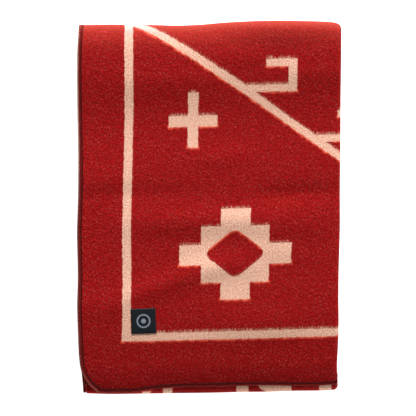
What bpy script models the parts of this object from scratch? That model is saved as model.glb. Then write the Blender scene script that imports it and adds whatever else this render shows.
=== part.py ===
"""Wool blanket folded four times across and four times along, with its sewn-on woven label."""

import bisect
import math

import bmesh
import bpy
import numpy as np
from mathutils import Vector
from mathutils.bvhtree import BVHTree

# ---- driving dimensions, metres ----
CLOTH_WIDTH = 1.575          # flat cloth, side to side
CLOTH_LENGTH = 2.184         # flat cloth, hem to hem
CLOTH_THICKNESS = 0.0025     # brushed wool felted cloth with its overlocked edge
CORNER_RADIUS = 0.042        # rounded corners of the flat cloth
PLY_PITCH = 0.0032           # from one ply to the next inside the strip of four plies
STRIP_PITCH = 0.0132         # from one pass of the strip to the next
SIDE_FOLD_INSET = 0.005      # half-width fold, in from the top ply's side edge
SIDE_EDGE_INSET = 0.004      # far side edge, in from the top ply's side edge
HEM_INSET = 0.0098           # hems, in from the half-length fold
CURL_LENGTH = 0.007          # the top ply's hem curls down over the hems of the plies under it
CURL_ANGLE = 1.9             # how far it turns, radians
TUCKED_IN = 0.013            # those hems lie this much further in
LABEL_SIZE = 0.0375          # square woven label
LABEL_THICKNESS = 0.0008
LABEL_GAP = 0.0003           # label above the cloth
LABEL_FROM_SIDE = 0.0826     # label's side, in from the cloth's side edge
LABEL_FROM_HEM = 0.0826      # label's foot, in from the hem
LABEL_TURN = 2.2             # degrees, the label is sewn on a little askew
LABEL_CELLS = 6              # grid cells along each side of the label

# ---- sampling ----
WIDE_BEND_STEPS = 6          # steps round the folds across
TIGHT_BEND_STEPS = 4         # steps round the half-width fold
LONG_BEND_STEPS = 8          # steps round the folds along
CORNER_STEPS = 4             # steps round each rounded corner
CROSS_STATIONS = (0.060, 0.150, 0.240, 0.330)
LONG_STATIONS = (0.080, 0.135, 0.235, 0.330, 0.400, 0.480, 0.522)

# ---- how the pack has settled: control values, millimetres, smooth in between ----
# sideways shift of the left edge, of a line 70 mm in, and of the right fold, along the pack
SIDE_AT = (0, 20, 40, 58, 95, 140, 172, 250, 300, 365, 440, 530, 555)
LEFT_SHIFT = (9.4, 8.2, 5.4, 3.2, 1.3, 0.2, 1.1, 0.0, 1.5, 1.6, 0.2, 0.8, 2.7)
INNER_SHIFT = (-0.9, -0.9, -0.9, -0.8, -0.8, -0.7, -0.2, -0.6, 0.3, 1.9, 2.9, 2.5, 2.5)
RIGHT_SHIFT = (-4.0, -5.2, -6.0, -5.0, -3.6, -4.0, -3.7, -1.7, -1.8, -1.0, -0.6, 0.3, 0.4)
# lengthwise shift across the pack: top ply's hem, top strip behind it, lower fold, top end
END_AT = (0, 50, 90, 112, 150, 185, 215, 250, 285, 335, 372, 388, 397)
HEM_SHIFT = (-10.8, -10.4, -9.5, -6.2, -3.0, -1.9, -1.4, -0.4, 0.1, -0.4, 0.0, 1.4, 1.8)
PLY_SHIFT = (-4.2, -3.1, -2.3, -1.8, -0.9, 0.0, 0.7, 1.5, 2.5, 4.0, 4.9, 5.3, 5.6)
FOLD_SHIFT = (-0.8, -2.0, -1.5, -1.2, -0.6, -0.3, 0.2, 1.2, 1.4, 3.0, 3.2, 3.6, 6.0)
TOP_SHIFT = (1.0, 1.8, 1.4, 1.2, 0.2, 1.6, 4.2, 6.3, 7.5, 7.2, 6.0, 4.6, 1.6)
LOWER_END_SHORT = 3.0        # lower top-end fold stops short of the upper one
# drop of the top below its full height: along the pack and across it
LENGTH_AT = (0, 14, 23, 41, 59, 78, 96, 114, 132, 150, 186, 222, 258, 294, 330, 348, 366, 384, 403, 421, 439,
             457, 475, 493, 511, 518, 523, 528, 532, 537, 541, 546, 555)
LENGTH_DROP = (13.4, 10.7, 8.9, 6.1, 4.7, 3.2, 2.1, 1.4, 1.1, 1.1, 1.4, 1.4, 1.4, 1.8, 1.9, 2.2, 2.8, 3.4, 3.7,
               3.4, 2.5, 1.3, 0.3, 0.0, 0.3, 0.7, 1.1, 1.7, 2.5, 3.7, 4.9, 6.4, 9.4)
WIDTH_AT = (0, 20, 60, 130, 200, 260, 320, 375, 397)
WIDTH_DROP = (3.0, 2.0, 1.1, 0.4, 0.0, 0.3, 0.0, 0.5, 1.4)

# ---- derived ----
HALF_CLOTH = CLOTH_THICKNESS / 2
WIDE_BEND = 1.5 * PLY_PITCH
TIGHT_BEND = 0.5 * PLY_PITCH
STRIP_BEND = STRIP_PITCH / 2
HALF_STRIP = WIDE_BEND + HALF_CLOTH
FOLD_CENTRE = SIDE_FOLD_INSET + TIGHT_BEND
SIDE_CENTRE = (CLOTH_WIDTH - 2.5 * math.pi * PLY_PITCH + 2 * FOLD_CENTRE + SIDE_EDGE_INSET) / 4
FOOT_CENTRE = STRIP_BEND + HALF_STRIP
HEAD_CENTRE = (CLOTH_LENGTH - 3 * math.pi * STRIP_BEND + 2 * FOOT_CENTRE + 2 * HEM_INSET) / 4
PACK_HEIGHT = 3 * STRIP_PITCH + 2 * HALF_STRIP
FAR = 1.0


def smooth_table(value, places, amounts):
    """Value of a control table at one place, joined by smooth curves."""
    slopes = np.gradient(amounts, places)
    place = min(max(value * 1000, places[0]), places[-1])
    index = min(bisect.bisect_right(places, place), len(places) - 1) - 1
    width = places[index + 1] - places[index]
    share = (place - places[index]) / width
    rest = 1 - share
    low = amounts[index] * (1 + 2 * share) + slopes[index] * width * share
    high = amounts[index + 1] * (1 + 2 * rest) - slopes[index + 1] * width * rest
    return float(low * rest * rest + high * share * share)


def step_up(value, low, high):
    """Smooth step from 0 at low to 1 at high."""
    share = min(1.0, max(0.0, (value - low) / (high - low)))
    return share * share * (3 - 2 * share)


def settle(point):
    """Move one point of the evenly folded pack to where the soft cloth comes to rest."""
    x, y, z = point
    left = smooth_table(y, SIDE_AT, LEFT_SHIFT)
    inner = smooth_table(y, SIDE_AT, INNER_SHIFT)
    right = smooth_table(y, SIDE_AT, RIGHT_SHIFT)
    near = step_up(x, 0.0, 0.07)
    far = step_up(x, 0.07, SIDE_CENTRE + WIDE_BEND)
    side = left * (1 - near) + inner * near * (1 - far) + right * far
    upper = step_up(z, 2.3 * STRIP_PITCH, 3.2 * STRIP_PITCH)
    edge = 1 - step_up(y, 0.012, 0.078)
    ply = smooth_table(x, END_AT, HEM_SHIFT) * edge + smooth_table(x, END_AT, PLY_SHIFT) * (1 - edge)
    foot = ply * upper + smooth_table(x, END_AT, FOLD_SHIFT) * (1 - upper)
    lower = 1 - step_up(z, 0.8 * STRIP_PITCH, 2.4 * STRIP_PITCH)
    head = smooth_table(x, END_AT, TOP_SHIFT) - LOWER_END_SHORT * lower
    share = step_up(y, HEAD_CENTRE - 0.12, HEAD_CENTRE + FOOT_CENTRE)
    drop = smooth_table(y, LENGTH_AT, LENGTH_DROP) + smooth_table(x, WIDTH_AT, WIDTH_DROP)
    height = z * (1 - drop / 1000 / PACK_HEIGHT)
    return (x + side / 1000, y + (foot * (1 - share) + head * share) / 1000, height)


def folded_line(level, legs, bends):
    """Stations of a line that runs back and forth: (along, level, normal angle, from own end)."""
    stations = []
    heading = 0.0
    for number, leg in enumerate(legs):
        for along in leg:
            own_end = FAR
            if number == 0:
                own_end = along - leg[0]
            if number == len(legs) - 1:
                own_end = along - leg[-1]
            stations.append((along, level, heading + math.pi / 2, own_end))
        if number == len(bends):
            break
        radius, side, steps = bends[number]
        lift = side * math.cos(heading)
        centre = level + radius * lift
        for step in range(1, steps):
            normal = heading + math.pi / 2 + side * math.pi * step / steps
            along = leg[-1] - side * radius * math.cos(normal)
            stations.append((along, centre - side * radius * math.sin(normal), normal, FAR))
        level += 2 * radius * lift
        heading += side * math.pi
    return stations


def cross_stations():
    """Stations of the four plies across the strip, folded in half and in half again."""
    inner = list(CROSS_STATIONS)
    first = [0.0, 0.020] + inner + [SIDE_CENTRE]
    fold_side = [FOLD_CENTRE, 0.020] + inner + [SIDE_CENTRE]
    last = [SIDE_EDGE_INSET, 0.020] + inner + [SIDE_CENTRE]
    legs = (first, fold_side[::-1], fold_side, last[::-1])
    bends = (
        (WIDE_BEND, -1, WIDE_BEND_STEPS),
        (TIGHT_BEND, -1, TIGHT_BEND_STEPS),
        (TIGHT_BEND, 1, WIDE_BEND_STEPS),
    )
    return folded_line(WIDE_BEND, legs, bends)


def long_stations():
    """Stations of the four passes of the strip, laid back and forth."""
    corner = []
    for step in range(CORNER_STEPS + 1):
        angle = math.pi / 2 * (1 - step / CORNER_STEPS)
        corner.append(HEM_INSET + CORNER_RADIUS * (1 - math.sin(angle)))
    shared = list(LONG_STATIONS) + [HEAD_CENTRE]
    hem_pass = corner + shared
    fold_pass = [FOOT_CENTRE] + [y for y in corner if y > FOOT_CENTRE + 0.002] + shared
    legs = (hem_pass, fold_pass[::-1], fold_pass, hem_pass[::-1])
    bends = (
        (STRIP_BEND, -1, LONG_BEND_STEPS),
        (STRIP_BEND, 1, LONG_BEND_STEPS),
        (STRIP_BEND, -1, LONG_BEND_STEPS),
    )
    return folded_line(3 * STRIP_PITCH + HALF_STRIP, legs, bends)


def corner_shift(from_side, from_hem):
    """Inward shift that turns the square corner of the grid into a rounded one."""
    if from_hem >= CORNER_RADIUS or from_side >= 2 * CORNER_RADIUS:
        return 0.0
    reach = CORNER_RADIUS - math.sqrt(CORNER_RADIUS ** 2 - (CORNER_RADIUS - from_hem) ** 2)
    return reach * (1 - from_side / (2 * CORNER_RADIUS))


def cloth_point(cross, along, offset):
    """Point of the folded cloth, offset from its middle surface to one of its faces."""
    x, level, tilt, from_side = cross
    y, height, normal, from_hem = along
    curl = 0.0
    if from_hem < FAR and height > 3 * STRIP_PITCH:
        y += TUCKED_IN * step_up(WIDE_BEND - level, 0.0, 0.0045) * (1 - step_up(from_hem, 0.01, 0.12))
        curl = CURL_ANGLE * step_up(level, 0.6 * WIDE_BEND, WIDE_BEND) * max(0.0, 1 - from_hem / CURL_LENGTH)
    x += corner_shift(from_side, from_hem) + offset * math.cos(tilt)
    level += offset * math.sin(tilt)
    y += level * math.cos(normal)
    z = height + level * math.sin(normal)
    if curl > 0:
        radius = (CURL_LENGTH - from_hem) / curl
        y += CURL_LENGTH - from_hem - (radius + offset) * math.sin(curl)
        z -= (radius + offset) * (1 - math.cos(curl))
    return settle((x, y, z))


def add_object(name, points, faces, material):
    """Mesh object from its points and faces, every face turned outwards."""
    mesh = bpy.data.meshes.new(name)
    mesh.from_pydata(points, [], faces)
    form = bmesh.new()
    form.from_mesh(mesh)
    bmesh.ops.recalc_face_normals(form, faces=form.faces)
    form.to_mesh(mesh)
    form.free()
    mesh.materials.append(material)
    made = bpy.data.objects.new(name, mesh)
    bpy.context.scene.collection.objects.link(made)
    return made


def closed_sheet(face_points, back_points, rows, columns, flips):
    """Triangles of a sheet with two faces and a rim, from two point grids of equal size."""
    count = rows * columns
    faces = []
    for row in range(rows - 1):
        for column in range(columns - 1):
            a = row * columns + column
            b, c, d = a + 1, a + columns + 1, a + columns
            halves = ((a, b, c), (a, c, d))
            if flips[row][column]:
                halves = ((a, b, d), (b, c, d))
            for half in halves:
                faces.append(half)
                faces.append(tuple(corner + count for corner in reversed(half)))
    rim = list(range(columns))
    rim += [row * columns + columns - 1 for row in range(1, rows)]
    rim += [(rows - 1) * columns + column for column in range(columns - 2, -1, -1)]
    rim += [row * columns for row in range(rows - 2, 0, -1)]
    for here, after in zip(rim, rim[1:] + rim[:1]):
        faces.append((here, here + count, after + count))
        faces.append((here, after + count, after))
    return face_points + back_points, faces


def make_blanket(material):
    """The folded cloth: one sheet with sixteen layers."""
    across = cross_stations()
    along = long_stations()
    face_points = [cloth_point(cross, row, HALF_CLOTH) for row in along for cross in across]
    back_points = [cloth_point(cross, row, -HALF_CLOTH) for row in along for cross in across]
    flips = []
    for row, row_after in zip(along, along[1:]):
        forward = row_after[0] > row[0]
        flips.append([(b[0] > a[0]) != forward for a, b in zip(across, across[1:])])
    points, faces = closed_sheet(face_points, back_points, len(along), len(across), flips)
    return add_object("blanket", points, faces, material)


def make_label(blanket, material):
    """The woven label, lying on the top ply at its corner."""
    mesh = blanket.data
    tree = BVHTree.FromPolygons([v.co for v in mesh.vertices], [tuple(p.vertices) for p in mesh.polygons])
    turn = math.radians(LABEL_TURN)
    half = LABEL_SIZE / 2
    side = LABEL_CELLS + 1
    centre = settle((LABEL_FROM_SIDE + half, HEM_INSET + LABEL_FROM_HEM + half, PACK_HEIGHT))
    faces_up = []
    faces_down = []
    for row in range(side):
        for column in range(side):
            a = LABEL_SIZE * column / LABEL_CELLS - half
            b = LABEL_SIZE * row / LABEL_CELLS - half
            x = centre[0] + a * math.cos(turn) - b * math.sin(turn)
            y = centre[1] + a * math.sin(turn) + b * math.cos(turn)
            hit = tree.ray_cast(Vector((x, y, 1.0)), Vector((0, 0, -1)))[0]
            faces_down.append((x, y, hit.z + LABEL_GAP))
            faces_up.append((x, y, hit.z + LABEL_GAP + LABEL_THICKNESS))
    flips = [[False] * LABEL_CELLS for _ in range(LABEL_CELLS)]
    points, faces = closed_sheet(faces_up, faces_down, side, side, flips)
    return add_object("label", points, faces, material)


def make_material(name, colour, roughness):
    """Plain material with one colour."""
    material = bpy.data.materials.new(name)
    material.use_nodes = True
    shader = material.node_tree.nodes["Principled BSDF"]
    shader.inputs["Base Color"].default_value = colour
    shader.inputs["Roughness"].default_value = roughness
    material.diffuse_color = colour
    return material


def centre_pack(parts):
    """Shift all parts so that the pack's footprint is centred on the origin, at rest on z = 0."""
    points = [vertex.co for part in parts for vertex in part.data.vertices]
    low = [min(point[axis] for point in points) for axis in range(3)]
    high = [max(point[axis] for point in points) for axis in range(3)]
    shift = Vector(((low[0] + high[0]) / 2, (low[1] + high[1]) / 2, low[2]))
    for part in parts:
        for vertex in part.data.vertices:
            vertex.co -= shift
        part.data.update()


def main():
    for old in list(bpy.data.objects):
        bpy.data.objects.remove(old, do_unlink=True)
    wool = make_material("wool_cloth", (0.33, 0.013, 0.014, 1.0), 0.95)
    satin = make_material("woven_label", (0.012, 0.015, 0.02, 1.0), 0.6)
    blanket = make_blanket(wool)
    label = make_label(blanket, satin)
    centre_pack([blanket, label])


main()
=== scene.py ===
import math

import bpy
import numpy as np
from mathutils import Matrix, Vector


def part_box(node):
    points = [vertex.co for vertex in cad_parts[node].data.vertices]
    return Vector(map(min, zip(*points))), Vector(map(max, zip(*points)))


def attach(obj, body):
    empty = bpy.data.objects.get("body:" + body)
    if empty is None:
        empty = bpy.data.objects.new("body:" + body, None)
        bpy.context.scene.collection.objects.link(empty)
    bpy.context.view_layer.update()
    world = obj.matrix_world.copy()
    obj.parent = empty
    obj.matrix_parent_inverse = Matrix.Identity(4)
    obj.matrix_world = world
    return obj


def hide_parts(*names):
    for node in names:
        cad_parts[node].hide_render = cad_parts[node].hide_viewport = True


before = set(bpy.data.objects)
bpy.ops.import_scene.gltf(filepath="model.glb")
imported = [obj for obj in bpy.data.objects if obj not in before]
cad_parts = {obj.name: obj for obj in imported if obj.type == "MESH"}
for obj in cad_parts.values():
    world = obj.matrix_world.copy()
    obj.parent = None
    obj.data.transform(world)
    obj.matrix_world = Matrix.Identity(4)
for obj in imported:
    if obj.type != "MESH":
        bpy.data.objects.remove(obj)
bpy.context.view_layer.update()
pack_low, pack_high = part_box("blanket")

# The cloth. One rectangle of thick brushed wool with rounded corners, folded in four across and
# then laid back and forth four times along, so that it lies in sixteen soft layers. Its sides and
# hems are overlocked; the folds are only laid, so they bulge and wander a little.
CLOTH_WIDTH = 1.575
CLOTH_LENGTH = 2.184
CLOTH_THICKNESS = 0.0025
CORNER_RADIUS = 0.042
PLY_PITCH = 0.0032
STRIP_PITCH = 0.0132
SIDE_FOLD_INSET = 0.005
SIDE_EDGE_INSET = 0.004
HEM_INSET = 0.0098

HALF_CLOTH = CLOTH_THICKNESS / 2
WIDE_BEND = 1.5 * PLY_PITCH
TIGHT_BEND = 0.5 * PLY_PITCH
STRIP_BEND = STRIP_PITCH / 2
HALF_STRIP = WIDE_BEND + HALF_CLOTH
FOLD_CENTRE = SIDE_FOLD_INSET + TIGHT_BEND
SIDE_CENTRE = (CLOTH_WIDTH - 2.5 * math.pi * PLY_PITCH + 2 * FOLD_CENTRE + SIDE_EDGE_INSET) / 4
FOOT_CENTRE = STRIP_BEND + HALF_STRIP
PACK_HEIGHT = 3 * STRIP_PITCH + 2 * HALF_STRIP
HEAD_CENTRE = (CLOTH_LENGTH - 3 * math.pi * STRIP_BEND + 2 * FOOT_CENTRE + 2 * HEM_INSET) / 4

# how the pack has settled, in millimetres: shifts of its sides along the length, shifts of its ends
# across the width, and the drop of its top both ways
SIDE_AT = (0, 20, 40, 58, 95, 140, 172, 250, 300, 365, 440, 530, 555)
LEFT_SHIFT = (9.4, 8.2, 5.4, 3.2, 1.3, 0.2, 1.1, 0.0, 1.5, 1.6, 0.2, 0.8, 2.7)
INNER_SHIFT = (-0.9, -0.9, -0.9, -0.8, -0.8, -0.7, -0.2, -0.6, 0.3, 1.9, 2.9, 2.5, 2.5)
RIGHT_SHIFT = (-4.0, -5.2, -6.0, -5.0, -3.6, -4.0, -3.7, -1.7, -1.8, -1.0, -0.6, 0.3, 0.4)
END_AT = (0, 50, 90, 112, 150, 185, 215, 250, 285, 335, 372, 388, 397)
HEM_SHIFT = (-10.8, -10.4, -9.5, -6.2, -3.0, -1.9, -1.4, -0.4, 0.1, -0.4, 0.0, 1.4, 1.8)
PLY_SHIFT = (-4.2, -3.1, -2.3, -1.8, -0.9, 0.0, 0.7, 1.5, 2.5, 4.0, 4.9, 5.3, 5.6)
FOLD_SHIFT = (-0.8, -2.0, -1.5, -1.2, -0.6, -0.3, 0.2, 1.2, 1.4, 3.0, 3.2, 3.6, 6.0)
TOP_SHIFT = (1.0, 1.8, 1.4, 1.2, 0.2, 1.6, 4.2, 6.3, 7.5, 7.2, 6.0, 4.6, 1.6)
# the lower fold of the top end lies this much further in, and the lower layers' side edges reach
# this much further out at the foot
LOWER_END_SHORT = 3.0
EDGES_LONGER = 6.0
LENGTH_AT = (
    0, 14, 23, 41, 59, 78, 96, 114, 132, 150, 186, 222, 258, 294, 330, 348, 366,
    384, 403, 421, 439, 457, 475, 493, 511, 518, 523, 528, 532, 537, 541, 546, 555,
)
LENGTH_DROP = (
    13.4, 10.7, 8.9, 6.1, 4.7, 3.2, 2.1, 1.4, 1.1, 1.1, 1.4, 1.4, 1.4, 1.8, 1.9, 2.2, 2.8,
    3.4, 3.7, 3.4, 2.5, 1.3, 0.3, 0.0, 0.3, 0.7, 1.1, 1.7, 2.5, 3.7, 4.9, 6.4, 9.4,
)
WIDTH_AT = (0, 20, 60, 130, 200, 260, 320, 375, 397)
WIDTH_DROP = (3.0, 2.0, 1.1, 0.4, 0.0, 0.3, 0.0, 0.5, 1.4)

# soft ridges and troughs (-) of the top: middle, slant in degrees, half length, half width, height
SOFT_RIDGES = (
    (218, 259, 0, 145, 20, 2.1),
    (144, 169, 19, 84, 18, 2.2),
    (238, 189, 4, 45, 18, 1.3),
    (306, 212, -10, 45, 17, 0.9),
    (333, 297, 0, 62, 13, -1.3),
    (330, 550, 0, 95, 24, 4.0),
    (378, 508, 0, 40, 16, 0.8),
    (366, 478, 0, 50, 18, 1.0),
    (320, 240, 0, 50, 15, 0.8),
    (218, 354, 4, 42, 15, 0.9),
    (279, 103, 0, 72, 24, 1.2),
    (32, 324, 0, 42, 21, 0.9),
    (32, 134, 0, 42, 21, 1.1),
    (245, 502, 0, 42, 15, 0.9),
    (132, 469, 0, 75, 20, 0.8),
    (95, 303, 0, 95, 12, -0.6),
)


def smooth_table(value, places, amounts):
    """Values of a control table in millimetres, joined by smooth curves."""
    places = np.asarray(places, float)
    amounts = np.asarray(amounts, float)
    slopes = np.gradient(amounts, places)
    value = np.clip(value * 1000, places[0], places[-1])
    index = np.clip(np.searchsorted(places, value, side="right") - 1, 0, len(places) - 2)
    width = places[index + 1] - places[index]
    share = (value - places[index]) / width
    rest = 1 - share
    low = amounts[index] * (1 + 2 * share) + slopes[index] * width * share
    high = amounts[index + 1] * (1 + 2 * rest) - slopes[index + 1] * width * rest
    return low * rest * rest + high * share * share


def step_up(value, low, high):
    """Smooth step from 0 at low to 1 at high."""
    share = np.clip((value - low) / (high - low), 0, 1)
    return share * share * (3 - 2 * share)


def settle(x, y, z):
    """Where points of the evenly folded pack come to rest in the soft one."""
    left = smooth_table(y, SIDE_AT, LEFT_SHIFT)
    inner = smooth_table(y, SIDE_AT, INNER_SHIFT)
    right = smooth_table(y, SIDE_AT, RIGHT_SHIFT)
    near = step_up(x, 0.0, 0.07)
    far = step_up(x, 0.07, SIDE_CENTRE + WIDE_BEND)
    side = left * (1 - near) + inner * near * (1 - far) + right * far
    upper = step_up(z, 2.3 * STRIP_PITCH, 3.2 * STRIP_PITCH)
    edge = 1 - step_up(y, 0.012, 0.078)
    ply = smooth_table(x, END_AT, HEM_SHIFT) * edge + smooth_table(x, END_AT, PLY_SHIFT) * (1 - edge)
    foot = ply * upper + smooth_table(x, END_AT, FOLD_SHIFT) * (1 - upper)
    at_corner = (1 - step_up(x, 0.001, 0.006)) * (1 - step_up(y, 0.008, 0.05))
    foot = foot - EDGES_LONGER * at_corner * (1 - upper)
    lower = 1 - step_up(z, 0.8 * STRIP_PITCH, 2.4 * STRIP_PITCH)
    head = smooth_table(x, END_AT, TOP_SHIFT) - LOWER_END_SHORT * lower
    share = step_up(y, HEAD_CENTRE - 0.12, HEAD_CENTRE + FOOT_CENTRE)
    drop = smooth_table(y, LENGTH_AT, LENGTH_DROP) + smooth_table(x, WIDTH_AT, WIDTH_DROP)
    for middle_x, middle_y, slant, half_length, half_width, ridge in SOFT_RIDGES:
        slant = math.radians(slant)
        away_x, away_y = x * 1000 - middle_x, y * 1000 - middle_y
        along = (away_x * math.cos(slant) + away_y * math.sin(slant)) / half_length
        across = (away_y * math.cos(slant) - away_x * math.sin(slant)) / half_width
        drop = drop - ridge * np.exp(-across ** 2 - along ** 4)
    height = z * (1 - drop / 1000 / PACK_HEIGHT)
    return x + side / 1000, y + (foot * (1 - share) + head * share) / 1000, height


def folded_line(run, start, level, legs, bends):
    """Place, level and heading at each distance along a line that is folded back and forth."""
    place = np.full(run.shape, float(start))
    height = np.full(run.shape, float(level))
    heading = np.zeros(run.shape)
    turn = 0.0
    done = 0.0
    for number, leg in enumerate(legs):
        beyond = run >= done
        place[beyond] = start + math.cos(turn) * (run[beyond] - done)
        height[beyond] = level
        heading[beyond] = turn
        start += math.cos(turn) * leg
        done += leg
        if number == len(bends):
            break
        radius, side = bends[number]
        lift = side * math.cos(turn)
        beyond = run >= done
        bent = np.minimum((run[beyond] - done) / radius, math.pi)
        normal = turn + math.pi / 2 + side * bent
        place[beyond] = start - side * radius * np.cos(normal)
        height[beyond] = level + radius * lift - side * radius * np.sin(normal)
        heading[beyond] = turn + side * bent
        done += math.pi * radius
        level += 2 * radius * lift
        turn += side * math.pi
    return place, height, heading


CROSS_LEGS = (SIDE_CENTRE, SIDE_CENTRE - FOLD_CENTRE, SIDE_CENTRE - FOLD_CENTRE, SIDE_CENTRE)
CROSS_BENDS = ((WIDE_BEND, -1), (TIGHT_BEND, -1), (TIGHT_BEND, 1))
HEM_LEG = HEAD_CENTRE - HEM_INSET
FOLD_LEG = HEAD_CENTRE - FOOT_CENTRE
LONG_LEGS = (HEM_LEG, FOLD_LEG, FOLD_LEG, HEM_LEG)
LONG_BENDS = ((STRIP_BEND, -1), (STRIP_BEND, 1), (STRIP_BEND, -1))

# the top layer's hem curls down over the hems of the layers under it, which lie further in
CURL_LENGTH = 0.007
CURL_ANGLE = 1.9
TUCKED_IN = 0.013


def lay(u, v, offset):
    """Places on the folded pack of points of the flat cloth, offset from its middle surface."""
    x, level, tilt = folded_line(u, 0.0, WIDE_BEND, CROSS_LEGS, CROSS_BENDS)
    y, height, turn = folded_line(v, HEM_INSET, 3 * STRIP_PITCH + HALF_STRIP, LONG_LEGS, LONG_BENDS)
    tuck = TUCKED_IN * step_up(WIDE_BEND - level, 0.0, 0.0045) * (1 - step_up(v, 0.01, 0.12))
    on_top = step_up(level, 0.6 * WIDE_BEND, WIDE_BEND)
    curl = CURL_ANGLE * on_top * np.clip(1 - v / CURL_LENGTH, 0, 1) + 1e-9
    radius = np.maximum(CURL_LENGTH - v, 1e-9) / curl
    x = x - offset * np.sin(tilt)
    level = level + offset * np.cos(tilt)
    y = y - level * np.sin(turn) + tuck
    z = height + level * np.cos(turn)
    near_hem = v < CURL_LENGTH
    y = y + np.where(near_hem, CURL_LENGTH - v - radius * np.sin(curl) - offset * np.sin(curl), 0)
    z = z - np.where(near_hem, radius * (1 - np.cos(curl)) + offset * (1 - np.cos(curl)), 0)
    return settle(x, y, z)


def stations(spans, fine_until):
    """Distances along the cloth where the sheet has a row of points, span by span."""
    runs = [fine_until]
    done = fine_until[-1]
    for length, count in spans:
        runs.append(done + length * np.arange(1, count + 1) / count)
        done += length
    return np.concatenate(runs)


corner_turn = np.linspace(0, math.pi / 2, 11)
corner_rows = CORNER_RADIUS * (1 - np.cos(corner_turn))
curl_rows = np.array([0.0, 0.001, 0.0022, 0.0034, 0.0046, 0.0058, 0.007, 0.009])
first_rows = np.concatenate([curl_rows, corner_rows[corner_rows > 0.010]])
hem_rows = np.concatenate([first_rows, np.linspace(CORNER_RADIUS, HEM_LEG, 139)[1:]])
cross_spans = (
    (math.pi * WIDE_BEND, 10),
    (CROSS_LEGS[1], 20),
    (math.pi * TIGHT_BEND, 6),
    (CROSS_LEGS[2], 20),
    (math.pi * TIGHT_BEND, 6),
    (CROSS_LEGS[3], 20),
)
long_spans = (
    (math.pi * STRIP_BEND, 12),
    (FOLD_LEG, 26),
    (math.pi * STRIP_BEND, 14),
    (FOLD_LEG, 26),
    (math.pi * STRIP_BEND, 10),
    (HEM_LEG - CORNER_RADIUS, 24),
)
u_rows = stations(cross_spans, np.linspace(0, SIDE_CENTRE, 95))
v_rows = stations(long_spans, hem_rows)
v_rows = np.concatenate([v_rows, CLOTH_LENGTH - corner_rows[::-1][1:]])
v_rows[-1] = CLOTH_LENGTH
u_grid, v_grid = np.meshgrid(u_rows, v_rows)
from_side = np.minimum(u_grid, CLOTH_WIDTH - u_grid)
from_hem = np.minimum(v_grid, CLOTH_LENGTH - v_grid)
reach = CORNER_RADIUS - np.sqrt(CORNER_RADIUS ** 2 - np.clip(CORNER_RADIUS - from_hem, 0, None) ** 2)
inward = reach * np.clip(1 - from_side / (2 * CORNER_RADIUS), 0, 1)
u_grid = u_grid + np.where(u_grid < CLOTH_WIDTH / 2, inward, -inward)

bpy.ops.object.select_all(action="DESELECT")
bpy.ops.mesh.primitive_grid_add(x_subdivisions=len(u_rows) - 1, y_subdivisions=len(v_rows) - 1, size=2)
cloth = bpy.context.object
cloth.name = "wool_blanket"
cloth_x, cloth_y, cloth_z = lay(u_grid.ravel(), v_grid.ravel(), 0.0)
cloth.data.vertices.foreach_set("co", np.stack([cloth_x, cloth_y, cloth_z], 1).ravel())
turn_at = folded_line(v_grid.ravel(), 0.0, 0.0, LONG_LEGS, LONG_BENDS)[2]
level_at = folded_line(u_grid.ravel(), 0.0, WIDE_BEND, CROSS_LEGS, CROSS_BENDS)[1]
woven = np.stack([u_grid.ravel(), v_grid.ravel() - level_at * turn_at], 1)
corners = np.empty(len(cloth.data.loops), np.int64)
cloth.data.loops.foreach_get("vertex_index", corners)
cloth.data.uv_layers[0].name = "woven"
cloth.data.uv_layers["woven"].uv.foreach_set("vector", woven[corners].ravel())
thicken = cloth.modifiers.new("thickness", "SOLIDIFY")
thicken.thickness = CLOTH_THICKNESS
thicken.offset = 0.0
thicken.use_even_offset = True
bpy.ops.object.modifier_apply(modifier=thicken.name)
bpy.ops.object.shade_smooth()
points = np.empty(len(cloth.data.vertices) * 3)
cloth.data.vertices.foreach_get("co", points)
points = points.reshape(-1, 3)
shift = Vector((
    (points[:, 0].min() + points[:, 0].max()) / 2 - (pack_low[0] + pack_high[0]) / 2,
    (points[:, 1].min() + points[:, 1].max()) / 2 - (pack_low[1] + pack_high[1]) / 2,
    points[:, 2].min() - pack_low[2],
))
cloth.data.vertices.foreach_set("co", (points - np.array(shift)).ravel())
cloth.data.update()


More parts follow.
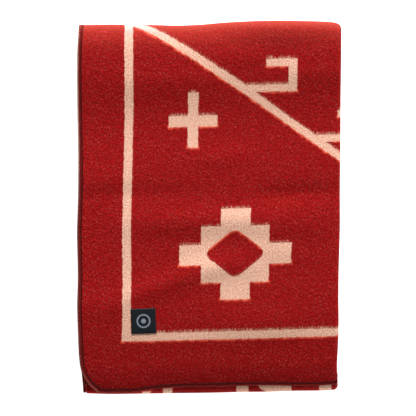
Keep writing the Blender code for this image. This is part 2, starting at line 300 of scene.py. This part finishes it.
class Wire:
    """A number that varies over a finish. Arithmetic on it adds Math nodes."""

    def __init__(self, socket):
        self.socket = socket

    def node(self, kind, settings, **sockets):
        """A node of any other kind: its settings first, then the values or links of its sockets."""
        made = self.socket.id_data.nodes.new(kind)
        for name, value in settings.items():
            if name == "stops":
                for place, colour in value[2:]:
                    made.color_ramp.elements.new(place).color = colour
                for element, (place, colour) in zip((0, -1), value[:2]):
                    made.color_ramp.elements[element].position = place
                    made.color_ramp.elements[element].color = colour
            else:
                setattr(made, name, value)
        for name, value in sockets.items():
            target = made.inputs[int(name[1:])] if name[1:].isdigit() else made.inputs[name]
            if isinstance(value, Wire):
                value = value.socket
            if isinstance(value, bpy.types.NodeSocket):
                self.socket.id_data.links.new(value, target)
            else:
                target.default_value = value
        return made

    def maths(self, operation, *values):
        """A Math node on the values given, in this number's material."""
        sockets = {"i" + str(number): value for number, value in enumerate(values)}
        return Wire(self.node("ShaderNodeMath", {"operation": operation}, **sockets).outputs[0])

    def __add__(self, other):
        return self.maths("ADD", self, other)

    def __radd__(self, other):
        return self.maths("ADD", other, self)

    def __sub__(self, other):
        return self.maths("SUBTRACT", self, other)

    def __rsub__(self, other):
        return self.maths("SUBTRACT", other, self)

    def __mul__(self, other):
        return self.maths("MULTIPLY", self, other)

    def __rmul__(self, other):
        return self.maths("MULTIPLY", other, self)

    def __truediv__(self, other):
        return self.maths("DIVIDE", self, other)

    def __abs__(self):
        return self.maths("ABSOLUTE", self)

    def least(self, other):
        return self.maths("MINIMUM", self, other)

    def most(self, other):
        return self.maths("MAXIMUM", self, other)

    def between(self, low, high):
        """0 at low and below, 1 at high and above, smooth in between."""
        settings = {"interpolation_type": "SMOOTHSTEP"}
        made = self.node("ShaderNodeMapRange", settings, i0=self, i1=low, i2=high)
        return Wire(made.outputs[0])

    def noise(self, across, along, detail=2.0, roughness=0.5, shift=0.0, slanting=False):
        """Noise from 0 to 1 over the woven coordinates, with its own size each way in metres."""
        u, v = self.woven
        if slanting:
            u, v = u - v, u + v
        vector = self.node("ShaderNodeCombineXYZ", {}, X=u / across + shift, Y=v / along)
        made = self.node(
            "ShaderNodeTexNoise",
            {"noise_dimensions": "2D"},
            Vector=vector.outputs[0],
            Scale=1.0,
            Detail=detail,
            Roughness=roughness,
        )
        return Wire(made.outputs[0])

    def blend(self, first, second):
        """A colour from first to second as this number goes from 0 to 1."""
        made = self.node("ShaderNodeMix", {"data_type": "RGBA"}, Factor=self, i6=first, i7=second)
        return made.outputs[2]


def new_finish(name, roughness):
    """A material and its shader, with the numbers that are the same all over."""
    finish = bpy.data.materials.new(name)
    finish.use_nodes = True
    shader = finish.node_tree.nodes["Principled BSDF"]
    shader.inputs["Roughness"].default_value = roughness
    return finish, shader


# the woven design, charted in metres from the cloth's side and from its hem; along the length the
# field mirrors at its middle, and the whole design mirrors at the middle of the cloth
FIELD_MIDDLE = 0.565
# the border's two lines: middle, half breadth, and where each starts at the corner
SIDE_LINE, SIDE_LINE_HALF, SIDE_LINE_START = 0.0753, 0.0064, 0.0709
FOOT_LINE, FOOT_LINE_HALF, FOOT_LINE_START = 0.0769, 0.0060, 0.0681
# the slanting line runs where these shares of both distances make up its reach
SLANT_ACROSS, SLANT_ALONG, SLANT_REACH = 0.5789, 0.8154, 0.5081
SLANT_HALF, SLANT_THINNER = 0.0058, 0.0014
SLANT_THINS_FROM, SLANT_THINS_TO = 0.500, 0.540
SLANT_SIDE_END, SLANT_FOOT_END, SLANT_FAR_END = 0.0749, 0.0781, 1.045
# how far it sags from a straight one, by the distance from the cloth's side
SLANT_SAG = (
    (0.080, 0.0190), (0.360, 0.0000), (0.086, 0.0164), (0.110, 0.0101), (0.132, 0.0050), (0.155, 0.0023),
    (0.178, 0.0008), (0.200, 0.0006), (0.223, 0.0000), (0.245, -0.0014), (0.290, -0.0015), (0.325, -0.0003),
)
# blocks of the design: middle and half breadth across, then middle and half length along
HOOK_UPRIGHT = (0.3249, 0.0066, 0.4646, 0.0237)
HOOK_TOP_BAR = (0.3079, 0.0236, 0.4829, 0.0056)
DIAMOND_STEPS = (
    (0.2400, 0.0850, 0.1983, 0.0156),
    (0.2394, 0.0517, 0.1986, 0.0427),
    (0.2402, 0.0223, 0.1987, 0.0686),
)
PLUS_BARS = (
    (0.1729, 0.0370, 0.4003, 0.0086),
    (0.1729, 0.0079, 0.4018, 0.0417),
)
# a hook's lower bar runs from the slanting line to the outside of the upright
HOOK_LOWER_BAR, HOOK_LOWER_HALF, HOOK_OUTSIDE, HOOK_OVER_SLANT = 0.4465, 0.0053, 0.3315, 0.004
HOOK_START, HOOK_STEP_IN, HOOK_STEP_DOWN = 0.2355, 0.1085, 0.0770
LAST_HOOK = 4.0
# the diamond's red middle: a lozenge with its corners cut off and rounded
DIAMOND_IN, DIAMOND_UP = 0.2394, 0.1998
LOZENGE_HALF_IN, LOZENGE_HALF_UP, LOZENGE_DEPTH = 0.0486, 0.0384, 0.030
LOZENGE_CUT_IN, LOZENGE_CUT_UP = 0.0430, 0.0345
LOZENGE_ROUND_IN, LOZENGE_ROUND_UP = 0.22, 0.0066
# short bars of the middle band: near and far side from the cloth's middle, foot, and lean
MIDDLE_BARS = (
    (0.0880, 0.1000, 1.0725, 0.0),
    (0.1195, 0.1330, 1.0685, 0.0),
    (0.2320, 0.2500, 1.0600, 0.0),
    (0.2640, 0.3155, 1.0600, 0.94),
    (0.3580, 0.3765, 1.0600, 0.0),
)
MIDDLE_LEAN_FROM = 1.067


def block(across, along, sizes):
    """Depth inside one rectangle of the design."""
    middle_across, half_across, middle_along, half_along = sizes
    return (half_across - abs(across - middle_across)).least(half_along - abs(along - middle_along))


def woven_motifs(u, v, bow):
    """Signed depth inside the cream motifs, in metres, at places of the flat cloth."""
    across = u.least(CLOTH_WIDTH - u)
    along = v.least(CLOTH_LENGTH - v)
    field = FIELD_MIDDLE - abs(along - FIELD_MIDDLE)
    # border lines along the side and the hem
    side_line = (SIDE_LINE_HALF - abs(across - SIDE_LINE)).least(along - SIDE_LINE_START)
    foot_line = (FOOT_LINE_HALF - abs(along - FOOT_LINE)).least(across - FOOT_LINE_START)
    shapes = side_line.most(foot_line)
    # slanting line, thinner where it nears the fold, and cut off at the border lines
    slant_half = SLANT_HALF - field.between(SLANT_THINS_FROM, SLANT_THINS_TO) * SLANT_THINNER
    slant = slant_half - abs(SLANT_ACROSS * across + SLANT_ALONG * (field + bow) - SLANT_REACH)
    in_border = (across - SLANT_SIDE_END).least(along - SLANT_FOOT_END)
    shapes = shapes.most(slant.least(in_border).least(SLANT_FAR_END - along))
    # fret hooks along the slanting line, each one step further in and down
    hook = across.maths("FLOOR", (across - HOOK_START) / HOOK_STEP_IN).most(0.0).least(LAST_HOOK)
    hook_across = across - HOOK_STEP_IN * hook
    hook_field = field + HOOK_STEP_DOWN * hook
    to_slant = SLANT_REACH - SLANT_ACROSS * hook_across - SLANT_ALONG * hook_field
    lower_bar = (HOOK_LOWER_HALF - abs(hook_field - HOOK_LOWER_BAR)).least(HOOK_OUTSIDE - hook_across)
    lower_bar = lower_bar.least(HOOK_OVER_SLANT - to_slant)
    upright = block(hook_across, hook_field, HOOK_UPRIGHT)
    top_bar = block(hook_across, hook_field, HOOK_TOP_BAR)
    shapes = shapes.most(lower_bar).most(upright).most(top_bar)
    # stepped diamond round its red middle
    from_middle = abs(across - DIAMOND_IN)
    above_middle = abs(field - DIAMOND_UP)
    steps = block(across, field, DIAMOND_STEPS[0])
    for step in DIAMOND_STEPS[1:]:
        steps = steps.most(block(across, field, step))
    lozenge = 1.0 - from_middle / LOZENGE_HALF_IN - above_middle / LOZENGE_HALF_UP
    cut_in = 1.0 - from_middle / LOZENGE_CUT_IN
    lozenge = lozenge.maths("SMOOTH_MIN", lozenge, cut_in, LOZENGE_ROUND_IN) * LOZENGE_DEPTH
    lozenge = lozenge.maths("SMOOTH_MIN", lozenge, LOZENGE_CUT_UP - above_middle, LOZENGE_ROUND_UP)
    shapes = shapes.most(steps.least(-1.0 * lozenge))
    # plus
    for bar in PLUS_BARS:
        shapes = shapes.most(block(across, field, bar))
    # middle band of short bars across the half-length fold
    from_centre = CLOTH_WIDTH / 2 - across
    for near, far, foot, lean in MIDDLE_BARS:
        bar = ((far - near) / 2 - abs(from_centre - (near + far) / 2)).least(along - foot)
        if lean:
            bar = bar.least(from_centre - near - (along - MIDDLE_LEAN_FROM) * lean)
        shapes = shapes.most(bar)
    return shapes


DEEP_RED, BRIGHT_RED = (0.135, 0.0010, 0.0016, 1), (0.447, 0.0072, 0.0084, 1)
FLECK_RED, RIM_ORANGE = (0.46, 0.072, 0.060, 1), (0.74, 0.085, 0.045, 1)
SHADED_CREAM, BRIGHT_CREAM = (0.63, 0.270, 0.170, 1), (0.95, 0.635, 0.485, 1)
ORANGE_CREAM = (0.85, 0.200, 0.120, 1)
# the three colours on the next line are painted light over the top fold: a paler red as painted sheen
# before the bend, a darker red as painted shade on the bend, and a greyer cream that the strong light turns
# into a whitish highlight
PAINTED_SHEEN_RED, PAINTED_SHADE_RED, PAINTED_HIGHLIGHT_CREAM = (0.30, 0.050, 0.033, 1), (0.185, 0.028, 0.017, 1), (0.36, 0.285, 0.262, 1)
UNDER_THREADS = (0.060, 0.004, 0.005, 1)
HAIR_SHEEN, HAIR_SHINE = (1.0, 0.48, 0.40, 1), (1.0, 0.48, 0.38, 1)
TWILL_PITCH = 0.0040

wool, wool_shader = new_finish("brushed_wool", 0.9)
coordinates = wool.node_tree.nodes.new("ShaderNodeUVMap")
coordinates.uv_map = "woven"
split = wool.node_tree.nodes.new("ShaderNodeSeparateXYZ")
wool.node_tree.links.new(coordinates.outputs[0], split.inputs[0])
u = Wire(split.outputs[0])
v = Wire(split.outputs[1])
Wire.woven = (u, v)
stops = [(place, (0.5 + sag * 20,) * 3 + (1,)) for place, sag in SLANT_SAG]
sag_ramp = u.node("ShaderNodeValToRGB", {"stops": stops}, Fac=u.least(CLOTH_WIDTH - u))
bow = (Wire(sag_ramp.outputs[0]) - 0.5) / 20.0
# the motifs' edges wander a little and are finely ragged
wander = u.noise(0.009, 0.009, 1.0, 0.5, 9.1)
ragged = u.noise(0.0022, 0.0022, 2.0, 0.6, 3.7)
u_bent = u + (wander - 0.5) * 0.0022 + (ragged - 0.5) * 0.0014
v_bent = v + (wander - 0.5) * 0.0018 + (ragged - 0.5) * 0.0014
depth = woven_motifs(u_bent, v_bent, bow)
# the nap is brushed towards the top end, so the same design moved that way reaches past each
# motif's upper edge and falls short of its lower one
NAP_OUT, NAP_UP = 0.0007, 0.0060
raised_depth = woven_motifs(u_bent + NAP_OUT, v_bent - NAP_UP, bow)
cream_share = depth.between(-0.0008, 0.0008)
# the brushed pile: cream hairs haze the red above each motif, less in the diamond's red middle and
# near the fold, and the motifs' lower edges have an orange rim
streak = u.noise(0.0015, 0.0080, 2.0, 0.6)
haze = (raised_depth + (streak - 0.5) * 0.010).between(0.0012, 0.0076)
from_middle = abs(v.least(CLOTH_LENGTH - v) - FIELD_MIDDLE)
middle = 1.0 - abs(FIELD_MIDDLE - from_middle - DIAMOND_UP).between(0.040, 0.044)
middle = middle * (1.0 - abs(u.least(CLOTH_WIDTH - u) - DIAMOND_IN).between(0.048, 0.050))
before_bend_end = 1.0 - v.between(0.554, 0.575)
near_fold = v.between(0.512, 0.545) * before_bend_end
haze = haze * (streak.between(0.30, 0.70) * 0.62 + 0.16)
haze = haze * (1.0 - middle * 0.6) * (1.0 - near_fold * 0.7)
below = (depth - raised_depth).between(0.0003, 0.0024) * (0.45 + 0.55 * wander.between(0.35, 0.60))
rim = below * (depth + (ragged - 0.5) * 0.0022).between(-0.0036, -0.0008)
# red wool: a slanting grain, tufts and faint twill, with paler flecks that gather in patches
grain = u.noise(0.0029, 0.0048, 3.0, 0.8, 5.3, True)
tuft = u.noise(0.0064, 0.0046, 2.0, 0.6, 2.3)
fleck = u.noise(0.0029, 0.0046, 2.0, 0.6, 11.3, True)
slanting = (u - v) * (2 * math.pi / TWILL_PITCH) + tuft * 1.5
twill = slanting.maths("SINE", slanting) * 0.5
tone = grain.between(0.26, 0.74) * 0.62 + tuft.between(0.28, 0.72) * 0.24 + twill * 0.14 + 0.07
red = tone.blend(DEEP_RED, BRIGHT_RED)
patch = u.noise(0.022, 0.014, 2.0, 0.6, 7.7).between(0.30, 0.70) * 0.9 + 0.55
red = (fleck.between(0.50, 0.76) * patch * 0.45).blend(red, FLECK_RED)
red = rim.blend(red, RIM_ORANGE)
# cream wool, with an orange shade along the motifs' lower edges
speck = ragged.between(0.32, 0.68) * 0.80 + grain.between(0.30, 0.70) * 0.20 + twill * 0.25
cream = speck.blend(SHADED_CREAM, BRIGHT_CREAM)
cream = (below * (1.0 - depth.between(-0.0006, 0.0026)) * 0.65).blend(cream, ORANGE_CREAM)
# over the top fold the colours are painted light: the cream is painted greyer there, so that the strong
# light turns it into a whitish highlight, and the red is painted a little paler and oranger before the bend
# as painted sheen, and darker on the bend as painted shade
painted_sheen_zone = v.between(0.488, 0.548) * before_bend_end
red = (painted_sheen_zone * 0.30).blend(red, PAINTED_SHEEN_RED)
painted_shade_on_bend = v.between(0.5315, 0.5385) * before_bend_end
red = (painted_shade_on_bend * 0.50).blend(red, PAINTED_SHADE_RED)
cream = (near_fold * 0.95).blend(cream, PAINTED_HIGHLIGHT_CREAM)
colour = cream_share.most(haze).blend(red, cream)
# the cloth that shows between the overlock's threads lies in their shade
from_edge = u.least(CLOTH_WIDTH - u).least(v).least(CLOTH_LENGTH - v)
colour = ((1.0 - from_edge.between(0.0056, 0.0066)) * 0.6).blend(colour, UNDER_THREADS)
wool.node_tree.links.new(colour, wool_shader.inputs["Base Color"])
wool_shader.inputs["Sheen Weight"].default_value = 0.10
wool_shader.inputs["Sheen Roughness"].default_value = 0.45
wool_shader.inputs["Sheen Tint"].default_value = HAIR_SHEEN
wool_shader.inputs["Specular IOR Level"].default_value = 0.06
wool_shader.inputs["Specular Tint"].default_value = HAIR_SHINE
nap = (grain * 0.8 + tuft * 0.5 + fleck * 0.3 - 0.80) * (1.0 - cream_share * 0.6)
raised = u.node("ShaderNodeBump", {}, Strength=0.7, Distance=0.0012, Height=nap)
wool.node_tree.links.new(raised.outputs[0], wool_shader.inputs["Normal"])
cloth.data.materials.clear()
cloth.data.materials.append(wool)

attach(cloth, "root")
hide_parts("blanket")

# The overlock. A dark machine edging in wool thread, sewn over the cloth's edge all the way round:
# a wrap and a paler loop of thread at each stitch, and a needle line along its inner side.
STITCH_PITCH = 0.0025
STITCH_DEPTH = 0.0064
THREAD_RADIUS = 0.0005
LOOP_RADIUS = 0.0006
NEEDLE_RADIUS = 0.0008
WRAP_RED, NEEDLE_DARK = (0.340, 0.026, 0.022, 1), (0.016, 0.003, 0.004, 1)
# the loops' pale colour is painted light, laid on more towards the top end where the strong light falls
LOOP_RED, PAINTED_LIGHT_LOOP = (0.26, 0.040, 0.032, 1), (0.98, 0.68, 0.53, 1)


def edge_run(pitch):
    """Points round the cloth's edge at one spacing, and the direction inwards at each."""
    straight_u = CLOTH_WIDTH - 2 * CORNER_RADIUS
    straight_v = CLOTH_LENGTH - 2 * CORNER_RADIUS
    quarter = math.pi / 2 * CORNER_RADIUS
    total = 2 * (straight_u + straight_v) + 4 * quarter
    count = int(round(total / pitch))
    places = []
    for number in range(count):
        run = total * number / count
        u0, v0 = CORNER_RADIUS, 0.0
        heading = 0.0
        for side in range(4):
            length = straight_u if side % 2 == 0 else straight_v
            du, dv = round(math.cos(heading)), round(math.sin(heading))
            if run < length:
                places.append((u0 + du * run, v0 + dv * run, -dv, du))
                break
            run -= length
            u0, v0 = u0 + du * length, v0 + dv * length
            centre_u, centre_v = u0 - dv * CORNER_RADIUS, v0 + du * CORNER_RADIUS
            if run < quarter:
                angle = heading - math.pi / 2 + run / CORNER_RADIUS
                out_u, out_v = math.cos(angle), math.sin(angle)
                places.append((
                    centre_u + CORNER_RADIUS * out_u,
                    centre_v + CORNER_RADIUS * out_v,
                    -out_u,
                    -out_v,
                ))
                break
            run -= quarter
            heading += math.pi / 2
            u0 = centre_u + CORNER_RADIUS * round(math.cos(heading - math.pi / 2))
            v0 = centre_v + CORNER_RADIUS * round(math.sin(heading - math.pi / 2))
    return np.array(places)


def thread_tubes(paths, radius, closed):
    """Points and faces of thin four-sided tubes along paths given as (tube, point, xyz)."""
    tubes, length = paths.shape[:2]
    ahead = np.roll(paths, -1, 1) - np.roll(paths, 1, 1)
    if not closed:
        ahead[:, 0] = paths[:, 1] - paths[:, 0]
        ahead[:, -1] = paths[:, -1] - paths[:, -2]
    ahead /= np.linalg.norm(ahead, axis=2, keepdims=True)
    guide = np.where(np.abs(ahead[..., 2:3]) > 0.9, (1.0, 0.0, 0.0), (0.0, 0.0, 1.0))
    across = np.cross(ahead, guide)
    across /= np.linalg.norm(across, axis=2, keepdims=True)
    upward = np.cross(across, ahead)
    ring = []
    for turn in (0, 1, 2, 3):
        angle = math.pi / 2 * turn + math.pi / 4
        ring.append(paths + radius * (math.cos(angle) * across + math.sin(angle) * upward))
    ring = np.stack(ring, 2)
    faces = []
    spans = length if closed else length - 1
    for tube in range(tubes):
        base = tube * length * 4
        for span in range(spans):
            here = base + span * 4
            there = base + (span + 1) % length * 4
            for corner in range(4):
                after = (corner + 1) % 4
                faces.append((here + corner, here + after, there + after, there + corner))
        if not closed:
            faces.append((base + 3, base + 2, base + 1, base))
            last = base + (length - 1) * 4
            faces.append((last, last + 1, last + 2, last + 3))
    return ring.reshape(-1, 3), faces


def sewn_object(name, points, faces, finish):
    """Thread piece from its points and faces."""
    mesh = bpy.data.meshes.new(name)
    mesh.from_pydata(points.tolist(), [], faces)
    mesh.materials.append(finish)
    mesh.validate()
    mesh.update()
    made = bpy.data.objects.new(name, mesh)
    bpy.context.scene.collection.objects.link(made)
    bpy.ops.object.select_all(action="DESELECT")
    bpy.context.view_layer.objects.active = made
    made.select_set(True)
    bpy.ops.object.mode_set(mode="EDIT")
    bpy.ops.mesh.select_all(action="SELECT")
    bpy.ops.mesh.normals_make_consistent(inside=False)
    bpy.ops.object.mode_set(mode="OBJECT")
    bpy.ops.object.shade_smooth()
    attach(made, "root")
    return made


yarn, yarn_shader = new_finish("overlock_yarn", 0.8)
yarn_shader.inputs["Base Color"].default_value = WRAP_RED
yarn_shader.inputs["Specular IOR Level"].default_value = 0.1
needle_yarn, needle_shader = new_finish("needle_yarn", 0.8)
needle_shader.inputs["Base Color"].default_value = NEEDLE_DARK
needle_shader.inputs["Specular IOR Level"].default_value = 0.1
# the loops are red towards the hem and painted paler towards the top end, where the strong light falls:
# painted light
loop_yarn, loop_shader = new_finish("edge_loop_yarn", 0.9)
lying = loop_yarn.node_tree.nodes.new("ShaderNodeTexCoord")
split = loop_yarn.node_tree.nodes.new("ShaderNodeSeparateXYZ")
loop_yarn.node_tree.links.new(lying.outputs["Object"], split.inputs[0])
painted_light_share = Wire(split.outputs[1]).between(-0.02, 0.16) * 0.85 + 0.15
loop_colour = painted_light_share.blend(LOOP_RED, PAINTED_LIGHT_LOOP)
loop_yarn.node_tree.links.new(loop_colour, loop_shader.inputs["Base Color"])
loop_shader.inputs["Specular IOR Level"].default_value = 0.1
stitches = edge_run(STITCH_PITCH)
surface = HALF_CLOTH + 0.0001


def sew_round_edge(name, wrap, radius, finish):
    """A thread round the cloth's edge at each stitch, along places given as (depth in, offset)."""
    path = []
    for depth_in, out in wrap:
        along_edge = STITCH_PITCH * (0.9 * depth_in / STITCH_DEPTH)
        pu = stitches[:, 0] + stitches[:, 2] * depth_in + stitches[:, 3] * along_edge
        pv = stitches[:, 1] + stitches[:, 3] * depth_in - stitches[:, 2] * along_edge
        path.append(np.stack(lay(pu, pv, out), 1) - np.array(shift))
    made = sewn_object(name, *thread_tubes(np.stack(path, 1), radius, False), finish)
    return made


overlock = sew_round_edge(
    "overlock_wraps",
    (
        (STITCH_DEPTH, surface),
        (0.0022, surface + 0.0003),
        (-0.0001, surface * 0.75),
        (-0.0001, -surface * 0.75),
        (0.0022, -surface - 0.0003),
        (STITCH_DEPTH, -surface),
    ),
    THREAD_RADIUS,
    yarn,
)
edge_loops = sew_round_edge(
    "edge_loops",
    (
        (0.0020, surface + 0.0004),
        (-0.0003, surface * 0.8),
        (-0.0003, -surface * 0.8),
        (0.0020, -surface - 0.0004),
    ),
    LOOP_RADIUS,
    loop_yarn,
)

# the needle line runs round both faces of the cloth
needle_run = edge_run(STITCH_PITCH * 1.5)
needle_u = needle_run[:, 0] + needle_run[:, 2] * STITCH_DEPTH
needle_v = needle_run[:, 1] + needle_run[:, 3] * STITCH_DEPTH
sides = []
for out in (surface + 0.0001, -surface - 0.0001):
    sides.append(np.stack(lay(needle_u, needle_v, out), 1) - np.array(shift))
needle_points, needle_faces = thread_tubes(np.stack(sides), NEEDLE_RADIUS, True)
needle_line = sewn_object("needle_line", needle_points, needle_faces, needle_yarn)

# The label. A small square of dark ribbed satin with folded edges and a plain ring and dot woven in
# grey, sewn down flat in the inner corner of the border line.
LABEL_SIZE = 0.0375
LABEL_THICKNESS = 0.0005
LABEL_GAP = 0.0001
LABEL_BULGE = 0.0002
LABEL_CELLS = 24
LABEL_TURN = math.radians(2.2)
RING_RADIUS = 0.25
RIB_TURNS = 260.0
# the lighter and darker colours of the satin and of the ring are painted light and painted shade of the
# ribs
SATIN_RIB_SHADED, SATIN_RIB_LIT = (0.006, 0.008, 0.010, 1), (0.016, 0.019, 0.023, 1)
RING_RIB_SHADED, RING_RIB_LIT = (0.16, 0.19, 0.24, 1), (0.30, 0.34, 0.40, 1)
label_centre = (0.1001 - shift[0], 0.1090 - shift[1])
bpy.ops.object.select_all(action="DESELECT")
bpy.ops.mesh.primitive_grid_add(x_subdivisions=LABEL_CELLS, y_subdivisions=LABEL_CELLS, size=LABEL_SIZE)
label = bpy.context.object
label.name = "woven_label_square"
label.data.uv_layers[0].name = "label_face"
for vertex in label.data.vertices:
    a, b = vertex.co.x, vertex.co.y
    x = label_centre[0] + a * math.cos(LABEL_TURN) - b * math.sin(LABEL_TURN)
    y = label_centre[1] + a * math.sin(LABEL_TURN) + b * math.cos(LABEL_TURN)
    under = cloth.ray_cast(Vector((x, y, 1.0)), Vector((0, 0, -1)))[1]
    edge = max(abs(a), abs(b)) / (LABEL_SIZE / 2)
    vertex.co = (x, y, under.z + LABEL_GAP + LABEL_BULGE * (1 - edge ** 6))
thicken = label.modifiers.new("thickness", "SOLIDIFY")
thicken.thickness = LABEL_THICKNESS
thicken.offset = 1.0
bpy.ops.object.modifier_apply(modifier=thicken.name)
bpy.ops.object.shade_smooth()
# the satin's ribs, ring and dot, on the label's own face from 0 to 1; a rib is one full turn. The ribs are
# painted light and shade: lighter and darker stripes on a flat face
satin, satin_shader = new_finish("woven_satin", 0.8)
satin_shader.inputs["Specular IOR Level"].default_value = 0.10
coordinates = satin.node_tree.nodes.new("ShaderNodeUVMap")
coordinates.uv_map = "label_face"
split = satin.node_tree.nodes.new("ShaderNodeSeparateXYZ")
satin.node_tree.links.new(coordinates.outputs[0], split.inputs[0])
a = Wire(split.outputs[0]) - 0.5
b = Wire(split.outputs[1]) - 0.5
radius = a.maths("SQRT", a * a + b * b)
ring = 1.0 - abs(radius - RING_RADIUS).between(0.020, 0.036)
dot = 1.0 - radius.between(0.085, 0.105)
ribs = b.maths("SINE", b * RIB_TURNS) * 0.5 + 0.5
ground = ribs.blend(SATIN_RIB_SHADED, SATIN_RIB_LIT)
ring_grey = ribs.blend(RING_RIB_SHADED, RING_RIB_LIT)
satin.node_tree.links.new(ring.most(dot).blend(ground, ring_grey), satin_shader.inputs["Base Color"])
label.data.materials.clear()
label.data.materials.append(satin)
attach(label, "root")
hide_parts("label")

# The setting: a plain white table, a strong soft light from beyond the pack's top end with weak
# ones overhead and beyond its hem, and the camera straight above.
bpy.ops.object.select_all(action="DESELECT")
bpy.ops.mesh.primitive_plane_add(size=12, location=(0, 0, -0.0005))
floor = bpy.context.object
floor.name = "white_table"
table, table_shader = new_finish("white_paper", 0.9)
table_shader.inputs["Base Color"].default_value = (0.95, 0.95, 0.95, 1)
table_shader.inputs["Emission Color"].default_value = (1, 1, 1, 1)
table_shader.inputs["Emission Strength"].default_value = 1.0
floor.data.materials.append(table)

world = bpy.context.scene.world or bpy.data.worlds.new("studio")
bpy.context.scene.world = world
world.use_nodes = True
world.node_tree.nodes["Background"].inputs[0].default_value = (1, 1, 1, 1)
world.node_tree.nodes["Background"].inputs[1].default_value = 0.12


def soft_light(name, place, target, size, power):
    """Square area light that points at a target."""
    lamp = bpy.data.lights.new(name, "AREA")
    lamp.size = size
    lamp.energy = power
    lit = bpy.data.objects.new(name, lamp)
    lit.location = place
    lit.rotation_euler = (Vector(target) - Vector(place)).to_track_quat("-Z", "Y").to_euler()
    bpy.context.scene.collection.objects.link(lit)


PACK_MIDDLE = (0, 0, 0.03)
soft_light("top_end_light", (0.9, 11.8, 3.3), PACK_MIDDLE, 2.6, 4750)
soft_light("overhead_light", (-0.3, 0.4, 3.0), PACK_MIDDLE, 2.0, 6)
soft_light("hem_end_light", (0.6, -5.0, 0.45), PACK_MIDDLE, 1.5, 100)

# the frame is 416 pixels each way, one pixel is 1.505 mm at the pack's top, and the evenly folded
# pack has its left side and its foot at these pixels
VIEW_HEIGHT = 8.0
FRAME_PIXELS = 416
PIXEL = 0.001505
SIDE_PIXEL = 77.0
FOOT_PIXEL = 393.5
SENSOR_WIDTH = 36.0
view_x = (FRAME_PIXELS / 2 - SIDE_PIXEL) * PIXEL - shift[0]
view_y = (FOOT_PIXEL - FRAME_PIXELS / 2) * PIXEL - shift[1]
camera_data = bpy.data.cameras.new("camera")
camera_data.sensor_width = SENSOR_WIDTH
camera_data.lens = SENSOR_WIDTH * VIEW_HEIGHT / (FRAME_PIXELS * PIXEL)
camera = bpy.data.objects.new("camera", camera_data)
camera.location = (view_x, view_y, pack_high[2] + VIEW_HEIGHT)
bpy.context.scene.collection.objects.link(camera)
bpy.context.scene.camera = camera
bpy.context.scene.view_settings.view_transform = "Standard"
